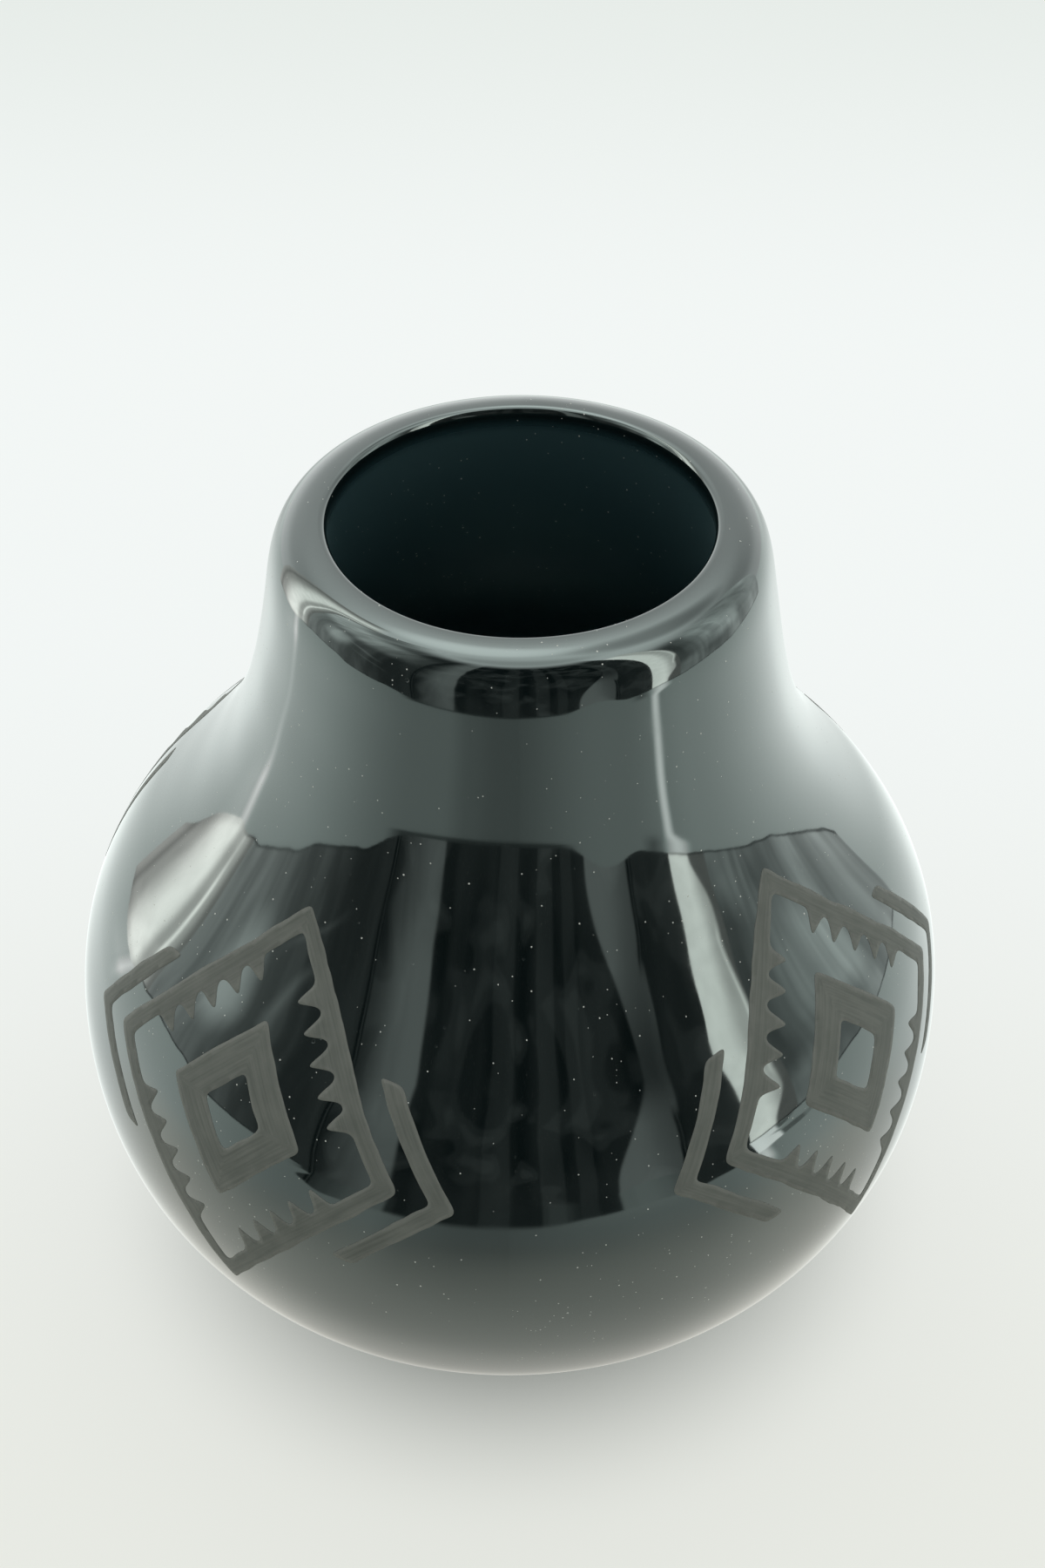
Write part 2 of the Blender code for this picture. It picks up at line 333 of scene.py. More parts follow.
# Shader nodes
class Signal:
    """One output of a shader node, a number, vector or colour, on which further nodes build."""

    def __init__(self, node, name=0):
        self.tree = node.id_data
        self.socket = node.outputs[name]

    def __add__(self, other):
        return maths("ADD", self, other)

    def __sub__(self, other):
        return maths("SUBTRACT", self, other)

    def __rsub__(self, other):
        return maths("SUBTRACT", other, self)

    def __mul__(self, other):
        return maths("MULTIPLY", self, other)

    def __truediv__(self, other):
        return maths("DIVIDE", self, other)

    def __abs__(self):
        return maths("ABSOLUTE", self)

    __radd__ = __add__
    __rmul__ = __mul__

    def above(self, limit):
        return maths("GREATER_THAN", self, limit)

    def below(self, limit):
        return maths("LESS_THAN", self, limit)

    def step(self, low, high, start=0.0, end=1.0):
        """A smooth change from the start, where this is low, to the end, where it is high."""
        inputs = {"Value": self, "From Min": low, "From Max": high, "To Min": start, "To Max": end}
        node = add_node(self.tree, "ShaderNodeMapRange", inputs, interpolation_type="SMOOTHSTEP")
        return Signal(node, "Result")

    def steps(self, rows):
        """The sum of several smooth steps."""
        first, *others = [self.step(*row) for row in rows]
        return sum(others, first)

    def band(self, middle, half_width, soft):
        """1 within a band of values, falling to 0 over the soft distance on either side."""
        return abs(self - middle).step(half_width + soft, half_width - soft)

    def split(self):
        """The three numbers of a vector."""
        node = add_node(self.tree, "ShaderNodeSeparateXYZ", {0: self})
        return [Signal(node, name) for name in "XYZ"]

    def stretched(self, x, y, z):
        return self.with_vector("MULTIPLY", (x, y, z))

    def with_vector(self, operation, other, name=0):
        inputs = {0: self, 1: other}
        return Signal(add_node(self.tree, "ShaderNodeVectorMath", inputs, operation=operation), name)

    def noise(self, scale, detail=2.0, roughness=0.5, distortion=0.0):
        inputs = {"Vector": self, "Scale": scale, "Detail": detail, "Roughness": roughness}
        inputs["Distortion"] = distortion
        return Signal(add_node(self.tree, "ShaderNodeTexNoise", inputs), "Fac")

    def specks(self, scale, share, low, high):
        """Small round spots: one to a cell, in the given share of the cells, each with its size."""
        cells = add_node(self.tree, "ShaderNodeTexVoronoi", {"Vector": self, "Scale": scale})
        draw = add_node(self.tree, "ShaderNodeSeparateColor", {0: Signal(cells, "Color")})
        size = Signal(draw, 1) * (high - low) + low
        return Signal(cells, "Distance").below(size) * Signal(draw).below(share)

    def into(self, node, name):
        self.tree.links.new(self.socket, node.inputs[name])


def add_node(tree, kind, inputs=None, **settings):
    """A node with its inputs linked where the value is a signal, and set where it is a number."""
    node = tree.nodes.new(kind)
    for key, value in settings.items():
        setattr(node, key, value)
    for key, value in (inputs or {}).items():
        if isinstance(value, Signal):
            value.into(node, key)
        else:
            node.inputs[key].default_value = value
    return node


def maths(operation, *values):
    tree = next(value.tree for value in values if isinstance(value, Signal))
    return Signal(add_node(tree, "ShaderNodeMath", dict(enumerate(values)), operation=operation))


def blend(first, second, share):
    """The first number where the share is 0, and the second where it is 1."""
    return (second - first) * share + first


def mix_colours(share, first, second):
    inputs = {0: share, 6: first, 7: second}
    return Signal(add_node(share.tree, "ShaderNodeMix", inputs, data_type="RGBA"), 2)


def mix_shaders(share, first, second):
    inputs = {0: share, 1: Signal(first), 2: Signal(second)}
    return add_node(share.tree, "ShaderNodeMixShader", inputs)


def show(shader, output="Material Output"):
    Signal(shader).into(shader.id_data.nodes[output], "Surface")


def new_material(name):
    material = bpy.data.materials.new(name)
    material.use_nodes = True
    tree = material.node_tree
    return material, tree, tree.nodes["Principled BSDF"]


def object_place(tree):
    return Signal(add_node(tree, "ShaderNodeTexCoord"), "Object")


def raise_relief(relief, shader):
    """Bump from a height in metres."""
    inputs = {"Height": relief, "Strength": 1.0, "Distance": 1.0}
    Signal(add_node(relief.tree, "ShaderNodeBump", inputs)).into(shader, "Normal")


def inside_share(place, height):
    """1 on the inside of the wall below the throat, where the normal points at the axis."""
    normal = Signal(add_node(place.tree, "ShaderNodeNewGeometry"), "Normal")
    facing = normal.with_vector("DOT_PRODUCT", place.stretched(1.0, 1.0, 0.0), "Value")
    return facing.below(0.002) * height.step(*INSIDE_TOP)


def burnished_material():
    """Smoke-blackened clay, rubbed to a deep gloss with a stone."""
    material, tree, shader = new_material("burnished_clay_finish")
    place = object_place(tree)
    height = place.split()[2]

    # Slow waves, bands about as wide as the stone's tip, and fine lines along them
    waves = place.noise(28.0, 1.0)
    bands = place.stretched(14.0, 14.0, 150.0).noise(1.0, 3.0, 0.55, 0.4)
    lines = place.stretched(90.0, 90.0, 900.0).noise(1.0, 2.0, 0.6)
    cloud = place.noise(42.0, 3.0, 0.55)
    deep = inside_share(place, height)

    # Dust, thicker in a few faint clouds, with larger motes among it
    drift = place.noise(34.0, 3.0, 0.6).step(0.50, 0.72, 0.05, 0.30)
    dust = place.specks(1500.0, drift, 0.07, 0.20)
    motes = place.specks(620.0, 0.05, 0.04, 0.10)
    dusty = maths("MAXIMUM", dust, motes)

    # Fine dust that shows only as a faint grain
    grain = place.specks(3800.0, 0.30, 0.10, 0.26) * (cloud * 0.05 + 0.01)
    black = mix_colours(grain, mix_colours(cloud, CLAY_DARK, CLAY_PALE), DUST_COLOUR)

    # The inside isn't polished, and its colour is painted light that gets paler towards its floor
    unpolished_painted_light = mix_colours(height.step(*PAINTED_LIGHT_BELLY_REACH), INSIDE_NECK_PAINTED_LIGHT, INSIDE_BELLY_PAINTED_LIGHT)
    unpolished_painted_light = mix_colours(height.step(*PAINTED_LIGHT_FLOOR_REACH), unpolished_painted_light, INSIDE_FLOOR_PAINTED_LIGHT)
    plain = mix_colours(deep, black, unpolished_painted_light)
    mix_colours(dusty, plain, DUST_COLOUR).into(shader, "Base Color")

    polish = bands.step(0.30, 0.75, 0.035, 0.065) + cloud.step(0.58, 0.78, 0.0, 0.04)
    rough = maths("MAXIMUM", polish, dusty * DUST_ROUGHNESS)
    rough = maths("MAXIMUM", rough, deep * INSIDE_ROUGHNESS)
    rough.into(shader, "Roughness")
    shader.inputs["IOR"].default_value = CLAY_IOR
    shader.inputs["Specular Tint"].default_value = CLAY_GLOSS_TINT

    relief = bands * BAND_RELIEF + lines * LINE_RELIEF + waves * WAVE_RELIEF
    pits = place.specks(900.0, 0.020, 0.10, 0.24)
    raise_relief(relief - pits * PIT_DEPTH, shader)
    return material


def slip_material():
    """Matt painted slip, with the drag of the brush in it."""
    material, tree, shader = new_material("matt_slip_finish")
    stroke = Signal(add_node(tree, "ShaderNodeAttribute", attribute_name="stroke"), "Vector")
    place = object_place(tree)
    to_edge = stroke.split()[2]
    drag = stroke.stretched(2400.0, 70.0, 0.0).noise(1.0, 3.0, 0.6)
    pool = place.noise(190.0, 3.0, 0.55)
    grain = place.noise(3800.0, 2.0, 0.6)

    # The slip is paler where the brush dragged or pooled it, and along its edge
    tone = drag * 0.75 + pool * 0.45 + to_edge.step(SLIP_PALE_EDGE, 0.0) * 0.28
    mix_colours(tone.step(0.30, 0.95), SLIP_DARK, SLIP_PALE).into(shader, "Base Color")
    blend(*SLIP_ROUGHNESS, grain).into(shader, "Roughness")
    shader.inputs["Specular IOR Level"].default_value = SLIP_GLOSS
    raise_relief(drag * DRAG_RELIEF + grain * GRAIN_RELIEF, shader)
    return material


# Outlines of the painted strokes
def lozenge(half_width, half_height):
    return [(half_width, 0.0), (0.0, half_height), (-half_width, 0.0), (0.0, -half_height)]


def inner_lozenge(half_width, half_height, stroke):
    height_of_triangle = half_width * half_height / math.hypot(half_width, half_height)
    share = 1.0 - stroke / height_of_triangle
    return lozenge(half_width * share, half_height * share)


def saw_toothed(corners):
    outline = []
    for start, end in zip(corners, corners[1:] + corners[:1]):
        corner = Vector(start)
        side = Vector(end) - corner
        along = side.normalized()
        inward = Vector((-along.y, along.x))
        pitch = (side.length - 2.0 * TOOTHLESS_END) / TEETH_PER_SIDE
        outline.append(tuple(corner))
        for tooth in range(TEETH_PER_SIDE):
            middle = corner + along * (TOOTHLESS_END + pitch * (tooth + 0.5))
            half_base = along * (pitch - TOOTH_GAP) / 2.0
            outline.append(tuple(middle - half_base))
            outline.append(tuple(middle + inward * TOOTH_DEPTH))
            outline.append(tuple(middle + half_base))
    return outline


def chevron(side):
    widen = math.hypot(LOZENGE_HALF_WIDTH, LOZENGE_HALF_HEIGHT) / LOZENGE_HALF_HEIGHT
    near = LOZENGE_HALF_WIDTH + CHEVRON_GAP * widen
    far = near + CHEVRON_STROKE * widen
    top = CHEVRON_HALF_HEIGHT
    back = top * LOZENGE_HALF_WIDTH / LOZENGE_HALF_HEIGHT
    outline = [
        (near, 0.0), (near - back, -top), (far - back, -top),
        (far, 0.0), (far - back, top), (near - back, top),
    ]
    return [(side * x, y) for x, y in outline]


def figure_strokes():
    frame_hole = inner_lozenge(LOZENGE_HALF_WIDTH, LOZENGE_HALF_HEIGHT, LOZENGE_STROKE)
    core_hole = inner_lozenge(CORE_HALF_WIDTH, CORE_HALF_HEIGHT, CORE_STROKE)
    return {
        "slip_frame": [lozenge(LOZENGE_HALF_WIDTH, LOZENGE_HALF_HEIGHT), saw_toothed(frame_hole)],
        "slip_core": [lozenge(CORE_HALF_WIDTH, CORE_HALF_HEIGHT), core_hole],
        "slip_left_chevron": [chevron(-1)],
        "slip_right_chevron": [chevron(1)],
    }


def brushed_outline(corners, seed):
    """The outline as a brush leaves it: stepped finely, corners eased, edges a little unsteady."""
    corners = np.array(corners)
    rows = []
    for start, end in zip(corners, np.roll(corners, -1, axis=0)):
        length = np.linalg.norm(end - start)
        count = max(int(round(length / OUTLINE_STEP)), 2)
        share = (np.arange(count) / count)[:, None]
        rows.append(start + (end - start) * share)
    points = np.vstack(rows)
    for _ in range(CORNER_SMOOTHING):
        points = points * 0.5 + (np.roll(points, 1, axis=0) + np.roll(points, -1, axis=0)) * 0.25

    # Each wave of the shake is shorter and smaller than the last, and heads another way
    drift = np.zeros_like(points)
    for index in range(BRUSH_SHAKE_WAVES):
        length = BRUSH_SHAKE_LENGTH / (1.0 + 0.62 * index)
        heading = seed * 1.7 + index * 2.4
        along = points[:, 0] * math.cos(heading) + points[:, 1] * math.sin(heading)
        phase = along * math.tau / length
        size = BRUSH_SHAKE / (1.0 + 0.55 * index)
        drift[:, 0] += size * np.sin(phase + seed + index)
        drift[:, 1] += size * np.cos(phase * 1.13 + seed * 2.0 + index * 1.9)
    return points + drift


def edge_distance(points, loops):
    """How far each point lies from the nearest outline."""
    nearest = np.full(len(points), np.inf)
    for loop in loops:
        run = np.roll(loop, -1, axis=0) - loop
        length = np.maximum((run * run).sum(1), 1e-18)
        away = points[:, None, :] - loop[None]
        share = np.clip((away * run[None]).sum(2) / length, 0.0, 1.0)
        distance = np.linalg.norm(away - share[..., None] * run[None], axis=2)
        nearest = np.minimum(nearest, distance.min(1))
    return nearest


def inside_loops(points, loops):
    """Even-odd test of points against closed outlines."""
    crossings = np.zeros(len(points), int)
    x, y = points[:, :1], points[:, 1:]
    for loop in loops:
        ax, ay = loop[:, 0], loop[:, 1]
        bx, by = np.roll(ax, -1), np.roll(ay, -1)
        spans = (ay[None] > y) != (by[None] > y)
        rise = np.where(np.abs(by - ay) < 1e-15, 1e-15, by - ay)
        at = ax[None] + (y - ay[None]) * (bx - ax)[None] / rise[None]
        crossings += (spans & (x < at)).sum(1)
    return crossings % 2 == 1


def wall_at(height, section):
    for low, high in zip(section, section[1:]):
        if low[1] <= height <= high[1]:
            share = (height - low[1]) / (high[1] - low[1])
            along = (high - low) / np.linalg.norm(high - low)
            return low + (high - low) * share, (along[1], -along[0])
    raise ValueError("the wall doesn't reach this height")


def figure_placement(angle, section):
    point, normal = wall_at(BELLY_RISE + FIGURE_RISE, section)
    turn = Matrix.Rotation(math.radians(angle), 3, "Z")
    outward = turn @ Vector((0.0, -normal[0], normal[1]))
    sideways = turn @ Vector((1.0, 0.0, 0.0))
    upward = outward.cross(sideways)
    placement = Matrix((sideways, upward, outward)).transposed().to_4x4()
    placement.translation = turn @ Vector((0.0, -point[0], point[1]))
    return placement


def dominant_sides(points):
    """Directions of a stroke's drag: along the lozenge's sides, by the quadrant of each point."""
    lean = np.array([LOZENGE_HALF_WIDTH, -LOZENGE_HALF_HEIGHT])
    lean = lean / np.linalg.norm(lean)
    flip = np.where(points[:, 0] * points[:, 1] > 0.0, 1.0, -1.0)
    return np.stack([lean[0] * np.ones(len(points)), lean[1] * flip], axis=1)


def filled_outlines(loops):
    """Points and triangles that fill the space between the outlines."""
    ring = np.vstack(loops)
    low, high = ring.min(0), ring.max(0)
    columns = np.arange(low[0], high[0], GRID_STEP)
    rows = np.arange(low[1], high[1], GRID_STEP * GRID_ROW_SHARE)
    grid_x, grid_y = np.meshgrid(columns, rows)
    grid_x = grid_x + (np.arange(len(rows)) % 2)[:, None] * GRID_STEP / 2.0
    grid = np.stack([grid_x.ravel(), grid_y.ravel()], axis=1)
    grid = grid[inside_loops(grid, loops)]
    grid = grid[edge_distance(grid, loops) > OUTLINE_STEP * GRID_EDGE_SHARE]

    edges = []
    first = 0
    for loop in loops:
        count = len(loop)
        edges += [(first + index, first + (index + 1) % count) for index in range(count)]
        first += count
    corners = [Vector(point) for point in np.vstack([ring, grid])]
    corners, edges, triangles = delaunay_2d_cdt(corners, edges, [], 0, 1e-9, False)[:3]
    flat = np.array([tuple(corner) for corner in corners])
    triangles = np.array([list(face) for face in triangles])
    triangles = triangles[inside_loops(flat[triangles].mean(1), loops)]
    used = np.unique(triangles)
    renumber = np.full(len(flat), -1)
    renumber[used] = np.arange(len(used))
    return flat[used], renumber[triangles]


def coat_faces(triangles, count):
    """The triangles above, the same ones below, numbered on by the count, and the sides."""
    faces = triangles.tolist() + (triangles[:, ::-1] + count).tolist()
    sides = {}
    for a, b, c in triangles.tolist():
        for edge in ((a, b), (b, c), (c, a)):
            if (edge[1], edge[0]) in sides:
                del sides[(edge[1], edge[0])]
            else:
                sides[edge] = True
    return faces + [(b, a, a + count, b + count) for a, b in sides]


def painted_stroke(name, outlines, placement, wall, material, seed):
    """One stroke of slip laid on the clay: a closed coat with rounded, slightly unsteady edges."""
    loops = [brushed_outline(outline, seed + 3.1 * index) for index, outline in enumerate(outlines)]
    flat, triangles = filled_outlines(loops)
    to_edge = edge_distance(flat, loops)
    outward = (placement.to_3x3() @ Vector((0.0, 0.0, 1.0))).normalized()
    top, bottom = [], []
    for point, distance in zip(flat, to_edge):
        start = placement @ Vector((point[0], point[1], BELLY_RADIUS))
        spot, normal = wall.ray_cast(start, -outward)[:2]
        eased = min(distance / SLIP_EDGE_WIDTH, 1.0)
        rise = SLIP_EDGE_COAT + (SLIP_FULL_COAT - SLIP_EDGE_COAT) * math.sqrt(eased * (2.0 - eased))
        top.append(spot + normal * rise)
        bottom.append(spot - normal * SLIP_SINK)
    piece = mesh_piece(name, top + bottom, coat_faces(triangles, len(flat)), material)

    # The brush's way, for the material: across it, along it, and the distance to the edge
    drag = dominant_sides(flat)
    along = (flat * drag).sum(1) + seed * 0.37
    across = flat[:, 0] * -drag[:, 1] + flat[:, 1] * drag[:, 0] + seed * 0.11
    values = np.stack([across, along, to_edge], axis=1)
    stroke = piece.data.attributes.new("stroke", "FLOAT_VECTOR", "POINT")
    stroke.data.foreach_set("vector", np.vstack([values, values]).astype(np.float32).ravel())
    return piece


def make_jar():
    burnished = burnished_material()
    slip = slip_material()
    points, faces = clay_mesh()
    clay = mesh_piece("clay_body", points, faces, burnished)
    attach(clay, "root")
    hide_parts("jar_body")
    wall = BVHTree.FromPolygons([tuple(point) for point in points], faces)
    section = outer_section()
    for figure, place in enumerate(FIGURE_PLACES):
        angle = FIRST_FIGURE_ANGLE + figure * 360.0 / len(FIGURE_PLACES)
        placement = figure_placement(angle, section)
        for index, (stroke_name, outlines) in enumerate(figure_strokes().items()):
            node = f"{stroke_name}_{place}"
            seed = 1.0 + figure * 4.0 + index
            piece = painted_stroke(f"painted_{node}", outlines, placement, wall, slip, seed)
            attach(piece, "root")
            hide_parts(node)


# Stage: floor, tent and lamp
FLOOR_REACH = 3.0
TENT_RADIUS = 0.49
OPENING_RADIUS = 0.4925
TENT_TOP = 1.90
CARD_FACET = 2.0
CARD_FOOT = 0.02
LEFT_STRIP_START = -144.0
LEFT_LAMP_START = -124.0
LEFT_STRIP_END = -97.5
OPENING_START = -112.0
RIGHT_STRIP_START = 53.4
RIGHT_STRIP_END = 66.6
RIGHT_CLOTH_END = 119.0

# Colours of the stage, and the light that surfaces without gloss get
SURFACE_LIGHT = 0.80
SURFACE_TINT = (0.97, 1.0, 0.985, 1.0)
LAMP_TINT = (0.98, 1.0, 0.99)
BACKDROP = (0.86, 0.90, 0.88, 1.0)
# The paper's tones are painted light and shade: paler in the middle than near and far
PAPER_NEAR_PAINTED_SHADE = (0.835, 0.850, 0.800, 1.0)
PAPER_MIDDLE_PAINTED_LIGHT = (0.905, 0.935, 0.925, 1.0)
PAPER_FAR_PAINTED_SHADE = (0.805, 0.845, 0.815, 1.0)
PAPER_ROUGHNESS = 0.9
# The floor's painted reflection: the colours it glows with to glossy rays
MIRRORED_PAPER = (0.94, 1.0, 0.975, 1.0)
MIRRORED_FRONT = (1.0, 0.99, 0.91, 1.0)
MIRRORED_STREAK = (1.0, 0.975, 0.97, 1.0)
WALL_TINT = (0.99, 1.0, 1.0, 1.0)
ROOM_TINT = (0.98, 1.0, 0.985, 1.0)
CLOTH_TINT = (0.96, 1.0, 0.985, 1.0)
STRIP_TINT = (1.0, 0.97, 0.93, 1.0)

# In the lists below, a row of four is a smooth step: where it starts and ends, and its level at
# both, which are 0 and 1 where a row has only two. A row of three is a band: its middle, half its
# width and how soft its edges are. Angles are degrees from the front, positive to the right.

# The floor as the camera sees it: its changes of tone, which are painted light and shade, and where it
# is part light of its own
PAPER_MIDDLE_START = (-0.10, 0.16)
PAPER_FAR_START = (0.26, 0.56)
PAPER_OWN_LIGHT = (0.030, 0.078, 0.0, 0.80)

# The floor as the jar mirrors it: a painted reflection that the floor glows with to glossy rays, with
# painted light and shade in it
WARM_DISTANCE, WARM_DEPTH = (0.24, 0.12), (0.02, -0.05)
PALE_LEVEL = (1.9, 3.4)
FLOOR_RIGHT = ((-6.0, 32.0, 0.54, 1.06), (40.0, 68.0, 0.0, 0.56), (70.0, 104.0, 0.0, 0.30))
FLOOR_LEFT = ((-8.0, -20.0, 0.54, 0.66), (-19.0, -29.0, 0.0, 0.26), (-40.0, -92.0, 0.0, 0.96))
FLOOR_SIDE_GAIN = (96.0, 118.0, 1.0, 1.06)
FLOOR_BACK_LOSS = (129.0, 160.0, 0.0, -0.52)
FLOOR_BACK_FADE = (1.10, 0.35)
FLOOR_SHADE = (27.0, 16.0, 12.0)
FLOOR_SHADE_FADE = (0.33, 0.22, 0.0, -0.17)
FOOT_SHADE_REACH = (0.085, 0.19)
FOOT_SHADE = (22.0, 50.0, 1.05, 1.24)
FOOT_SHADE_CORE = (0.050, 0.074, 0.72, 1.0)
STREAK_START = (0.20, 0.27)
RIGHT_STREAK_MIDDLE = (0.400, 0.465, 54.6, 57.4)
RIGHT_STREAK_WIDTH = (0.400, 0.465, 1.5, 3.5)
RIGHT_STREAK_LIGHT = (1.8, 0.0, 0.0, 3.4)
LEFT_STREAK = (-106.5, 0.9, 2.0)
LEFT_STREAK_GLOW, LEFT_GLOW_SHARE = (-110.0, 3.0, 6.0), 0.25
LEFT_STREAK_LIGHT = (0.25, 0.34, 0.5, 2.3)
# A dark band of painted shade in the floor's reflection
MIRRORED_DARK_BAND = (48.5, 2.5, 3.0)
MIRRORED_DARK_BAND_FADE = (0.40, 0.45, 0.0, 0.6)
FOLD_REACH = (50.0, 42.0)
FOLD_RIGHT_END = (22.0, 14.0)
FOLD_SHADE = (0.462, 0.476, 0.0, -0.75)

# The slant at which the paper's edge is passed, by place, and how soft the change is
EDGE_WAVE = (0.30, 0.70, 0.705, 0.725)
EDGE_BY_DISTANCE = ((0.36, 0.46, 0.0, 0.070), (0.46, 0.70, 0.0, 0.075))
EDGE_BY_ANGLE = ((36.0, 96.0, 0.0, 0.11), (-38.0, -56.0, 0.0, 0.15))
EDGE_FRONT = (-8.0, 20.0, 12.0)
EDGE_SOFTNESS, EDGE_FRONT_SOFTNESS = 0.006, 0.028

# The cards' lower hem
HEM_SIDES = (40.0, 56.0)
HEM_WAVE = (0.30, 0.70, 0.0, 0.014)
HEM_BY_ANGLE = (
    (-36.0, -70.0, 0.0, 0.022),
    (-74.0, -82.0, 0.0, 0.018),
    (-94.0, -98.0, 0.0, -0.008),
    (-101.0, -108.0, 0.0, -0.028),
)
HEM_LIFT_PLACE, HEM_LIFT = (31.0, 7.0, 6.0), 0.030
HEM_LINE = (0.0065, 0.0030, 0.0, 0.7)
HEM_LINE_END = (-105.0, -100.0)

# The dim room in the tent's opening
ROOM_TOP = (1.02, 1.85)
RIPPLE = 2.2
ROOM_FOOT = (0.17, 0.05, 0.0, 0.04)
ROOM_FOLDS = (0.38, 0.72, 0.01, 0.07)
ROOM_PATCHES = ((0.50, 0.56, 0.0, 0.07), (0.60, 0.66, 0.0, 0.08))
ROOM_CORNER, ROOM_CORNER_LIGHT = (46.0, 7.0, 1.0), 0.04
LEFT_PANEL = (-42.5, -30.0, 0.06, 0.86)
LEFT_PANEL_EDGE = (-25.2, -26.4)
LEFT_PANEL_BY_HEIGHT = (0.06, 0.26, 0.66, 1.0)
RIGHT_PANEL = (27.0, 38.0, 0.80, 0.42)
RIGHT_PANEL_START = (0.04, 0.44, 22.8, 36.0)
RIGHT_PANEL_END = (0.04, 0.44, 37.4, 41.5)
RIGHT_PANEL_BY_HEIGHT = (0.38, 0.20, 0.35, 1.0)
RIGHT_PANEL_START_EDGE, RIGHT_PANEL_END_EDGE = (-0.4, 0.6), (-0.3, 0.3)

# Middle, half width and light of each plain strip, and angle and top of each pole
PLAIN_STRIPS, STRIP_SOFTNESS = ((-3.5, 3.2, 0.07), (9.0, 2.6, 0.09), (16.5, 1.9, 0.07)), 0.3
POLES = ((-43.3, 1.0), (38.4, 0.22))
POLE_HALF_WIDTH, POLE_SOFTNESS, POLE_TOP_SOFTNESS = 0.75, 0.25, 0.03
GLINT_SHIFT, GLINT_HALF_WIDTH, GLINT_SOFTNESS, GLINT_LIGHT = 0.15, 0.12, 0.15, 0.30

# The cloth left of the opening
LEFT_CLOTH_START = (-42.8, -43.6)
LEFT_CLOTH = ((-56.0, -72.0, 0.14, 0.52), (-72.0, -92.0, 0.0, 0.72))
LEFT_CLOTH_UPPER = (-42.0, -84.0, 0.10, 1.50)
UPPER_START, UPPER_END = (0.36, 0.52), (0.95, 0.66)
LEFT_CLOTH_FOLDS = (0.32, 0.68, 0.78, 1.25)
CLOUD_ANGLE, CLOUD_HALF_WIDTH = -82.0, 8.0
CLOUD_HEIGHT, CLOUD_HALF_HEIGHT = 0.27, 0.13
CLOUD_LIGHT = (1.15, 0.25, 0.0, 1.6)
CREASE_WAVE, CREASE_SLOPE = 0.10, 0.0042

# Each crease's band across the curl of the cloth, its band of angles and its light
CREASES = (
    ((0.035, 0.004, 0.016), (-69.0, 7.0, 6.0), 0.75),
    ((-0.035, 0.003, 0.014), (-64.0, 6.0, 6.0), 0.45),
)

# The cloth right of the right lamp
RIGHT_CLOTH_HIGH = ((70.0, 92.0, 0.42, 2.05), (93.0, 104.0, 0.0, -0.80), (108.0, 119.0, 0.0, 0.50))
RIGHT_CLOTH_LOW = (88.0, 99.0, 0.88, 1.45)
RIGHT_CLOTH_FOLDS = (0.30, 0.70, 0.78, 1.35)
RIGHT_CLOTH_CLOUDS = (0.3, 0.7, 0.88, 1.15)
RIGHT_CLOTH_CHANGE, RIGHT_CLOTH_TOP = (0.07, 0.15), (0.42, 0.70)

# The long lamps
RIGHT_LAMP_END = ((0.02, 0.11, 59.6, 63.4), (0.16, 0.26, 0.0, 2.0))
RIGHT_LAMP = (58.5, 63.5, 5.2, 2.5)
RIGHT_LAMP_EDGE = (1.5, 0.3)
RIGHT_LINE, RIGHT_LINE_LIGHT = (0.0, 0.3, 0.5), (0.13, 0.17, 0.0, 2.2)
RIGHT_LAMP_BASE = 0.70
LEFT_LAMP_LEAN = (0.30, 0.80, 0.0, 13.0)
LEFT_LAMP_BASE = 1.8
LEFT_LAMP = (
    (-119.5, -109.5, 0.0, 4.2),
    (-107.0, -103.6, 0.0, -3.2),
    (-100.6, -98.0, 0.0, -1.6),
)
LEFT_DIM, LEFT_DIM_LIGHT = (-121.4, 0.9, 1.3), -0.75
LEFT_LINE, LEFT_LINE_LIGHT = (-101.5, 0.45, 0.60), (0.07, 0.13, 1.3, 4.2)
LEFT_LAMP_FOOT = (0.008, 0.032, 0.72, 1.0)
LAMP_PATCHES = (0.3, 0.7, 0.94, 1.05)
LAMP_TOP = (0.90, 1.05)

# The walls of the tent. A place is an angle from the front and a rise above level, in degrees
WALL_LIGHT = ((32.0, 64.0, 1.50, 3.60), (26.0, 10.0, 0.0, 0.45))
DIM_PLACE, DIM_LIGHT = (130.0, 60.0), (0.94, 1.0, 0.0, -1.9)
BRIGHT_PLACE, BRIGHT_LIGHT = (-166.0, 67.0), (0.962, 1.0, 0.0, 1.6)
CEILING_RISE, CEILING_SHADE = (67.0, 80.0), (0.12, -0.10, 0.0, -1.2)
LOW_WALL_RISE = (50.0, 36.0)
LOW_WALL_BANDS = (((-150.0, 25.0, 25.0), 0.30), ((128.0, 12.0, 22.0), -0.30))


def only_in_gloss(card):
    """Hide a card of the stage from everything but the light that a glossy surface mirrors."""
    card.visible_camera = False
    card.visible_diffuse = False
    card.visible_transmission = False
    card.visible_volume_scatter = False
    card.visible_shadow = False


def curved_card(name, first, last, radius, material):
    """An upright curved sheet between two angles."""
    count = max(int(abs(last - first) / CARD_FACET), 4)
    points = []
    for angle in np.radians(np.linspace(first, last, count + 1)):
        x, y = radius * math.sin(angle), -radius * math.cos(angle)
        points += [(x, y, 0.0), (x, y, TENT_TOP)]
    faces = [(2 * i, 2 * i + 2, 2 * i + 3, 2 * i + 1) for i in range(count)]
    only_in_gloss(new_object(name, new_mesh(name, points, faces, material)))


def angle_from_front(x, y):
    return maths("DEGREES", maths("ARCTAN2", x, y * -1.0))


